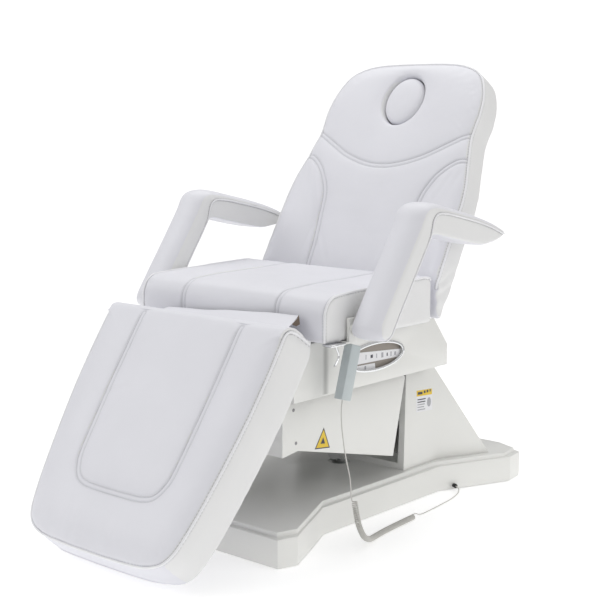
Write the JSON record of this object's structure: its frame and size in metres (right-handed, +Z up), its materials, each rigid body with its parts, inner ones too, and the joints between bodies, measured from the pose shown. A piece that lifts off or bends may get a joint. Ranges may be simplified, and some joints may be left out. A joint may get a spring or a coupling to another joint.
{
  "type": "facial treatment bed",
  "caption": "Motorised facial treatment bed: upholstered seat, reclining back with face hole, raising legrest, swing-back armrests and handset on a parallelogram lift.",
  "frame": {"origin": "centre of the bed's footprint, without the handset's cord, on the floor", "axes": "+Z up, +Y along the bed towards the head end, +X to the handset's side"},
  "size_m": [0.84, 1.3758, 1.1733],
  "materials": {
    "upholstery": "soft satin leatherette",
    "board": "plywood covered in white backing cloth",
    "moulding": "semi-gloss moulded shell",
    "steel": "light grey powder coat",
    "chrome": "polished",
    "rubber": "matt",
    "black_plastic": "fine matt texture",
    "handset_grey": "satin",
    "key_grey": "matt",
    "cord": "satin PVC"
  },
  "bodies": {
    "base": {"base_plate": "steel", "foot_front_left": "rubber", "foot_front_right": "rubber", "foot_rear_left": "rubber", "foot_rear_right": "rubber", "base_cover": "moulding", "mains_inlet": "black_plastic", "actuator_clevis": "steel", "tower_plate_left": "steel", "tower_plate_right": "steel", "tower_lower_shaft": "chrome", "tower_upper_shaft": "chrome", "tower_cover": "moulding", "cord_gland": "rubber", "handset_lead": "cord", "handset_coil": "cord", "handset_tail": "cord"},
    "lift_arm": {"lift_arm_frame": "steel", "lift_arm_cover": "moulding"},
    "tie_link": {"tie_frame": "steel"},
    "lift_actuator": {"lift_actuator_body": "black_plastic"},
    "lift_rod": {"lift_actuator_rod": "chrome"},
    "seat": {"seat_rail_left": "steel", "seat_rail_right": "steel", "seat_cross_front": "steel", "seat_cross_rear": "steel", "seat_lower_shaft": "chrome", "seat_upper_shaft": "chrome", "leg_hinge_shaft": "chrome", "back_hinge_shaft": "chrome", "arm_bracket_left": "steel", "arm_bracket_right": "steel", "seat_board": "board", "seat_cushion": "upholstery", "seat_shroud": "moulding", "window_bezel": "chrome", "back_actuator_body": "black_plastic", "leg_actuator_body": "black_plastic", "handset_hook": "chrome", "handset_case": "handset_grey"},
    "backrest": {"back_cushion": "upholstery", "back_board": "board", "back_bracket_left": "steel", "back_bracket_right": "steel", "back_lever": "steel"},
    "plug": {"face_hole_plug": "upholstery"},
    "back_rod": {"back_actuator_rod": "chrome"},
    "legrest": {"leg_cushion": "upholstery", "leg_board": "board", "leg_bracket_left": "steel", "leg_bracket_right": "steel", "leg_lever": "steel"},
    "leg_rod": {"leg_actuator_rod": "chrome"},
    "armrest_left": {"arm_strut_left": "upholstery", "arm_pad_left": "upholstery"},
    "armrest_right": {"arm_strut_right": "upholstery", "arm_pad_right": "upholstery"},
    "key_back": {"rocker_back": "key_grey"},
    "key_leg": {"rocker_leg": "key_grey"},
    "key_lift": {"rocker_lift": "key_grey"}
  },
  "joints": [
    {"name": "lift", "type": "hinge", "parent": "base", "child": "lift_arm", "pos_m": [0, 0.288, 0.213], "axis": [-1, 0, 0], "range_deg": [0, 30]},
    {"name": "tie_swing", "type": "hinge", "parent": "base", "child": "tie_link", "pos_m": [0, 0.288, 0.268], "axis": [-1, 0, 0], "range_deg": [0, 30]},
    {"name": "seat_level", "type": "hinge", "parent": "lift_arm", "child": "seat", "pos_m": [0, -0.12302, 0.30036], "axis": [-1, 0, 0], "range_deg": [-30, 0]},
    {"name": "lift_actuator_swing", "type": "hinge", "parent": "lift_arm", "child": "lift_actuator", "pos_m": [0, 0.077, 0.272], "axis": [-1, 0, 0], "range_deg": [-12, 0]},
    {"name": "lift_actuator_stroke", "type": "slide", "parent": "lift_actuator", "child": "lift_rod", "axis": [0, 0.5686, -0.8226], "range_m": [0, 0.0642]},
    {"name": "back_recline", "type": "hinge", "parent": "seat", "child": "backrest", "pos_m": [0, 0.289, 0.515], "axis": [1, 0, 0], "range_deg": [-60, 10]},
    {"name": "back_actuator_stroke", "type": "slide", "parent": "seat", "child": "back_rod", "axis": [0, 1, 0], "range_m": [-0.0842, 0.0141]},
    {"name": "leg_raise", "type": "hinge", "parent": "seat", "child": "legrest", "pos_m": [0, -0.223, 0.5], "axis": [-1, 0, 0], "range_deg": [0, 55]},
    {"name": "leg_actuator_stroke", "type": "slide", "parent": "seat", "child": "leg_rod", "axis": [0, -1, 0], "range_m": [0, 0.0694]},
    {"name": "armrest_left_swing", "type": "hinge", "parent": "seat", "child": "armrest_left", "pos_m": [-0.33, -0.137, 0.535], "axis": [-1, 0, 0], "range_deg": [0, 60]},
    {"name": "armrest_right_swing", "type": "hinge", "parent": "seat", "child": "armrest_right", "pos_m": [0.33, -0.137, 0.535], "axis": [-1, 0, 0], "range_deg": [0, 60]},
    {"name": "plug_lift_out", "type": "slide", "parent": "backrest", "child": "plug", "axis": [0, -0.866, 0.5], "range_m": [0, 0.12]},
    {"name": "key_back_rock", "type": "hinge", "parent": "seat", "child": "key_back", "pos_m": [0.298, -0.12659, 0.46346], "axis": [0, 0.9563, -0.2924], "range_deg": [-5, 5], "stiffness_Nm_per_rad": 0.05},
    {"name": "key_leg_rock", "type": "hinge", "parent": "seat", "child": "key_leg", "pos_m": [0.298, -0.13478, 0.43668], "axis": [0, 0.9563, -0.2924], "range_deg": [-5, 5], "stiffness_Nm_per_rad": 0.05},
    {"name": "key_lift_rock", "type": "hinge", "parent": "seat", "child": "key_lift", "pos_m": [0.298, -0.14297, 0.4099], "axis": [0, 0.9563, -0.2924], "range_deg": [-5, 5], "stiffness_Nm_per_rad": 0.05}
  ],
  "couplings": [
    {"joint": "tie_swing", "follows": "lift", "ratio": 1},
    {"joint": "seat_level", "follows": "lift", "ratio": -1},
    {"joint": "lift_actuator_swing", "follows": "lift", "ratio": -0.3893},
    {"joint": "lift_actuator_stroke", "follows": "lift", "m_per_rad": 0.1222},
    {"joint": "back_actuator_stroke", "follows": "back_recline", "m_per_rad": 0.0802},
    {"joint": "leg_actuator_stroke", "follows": "leg_raise", "m_per_rad": 0.0722}
  ]
}
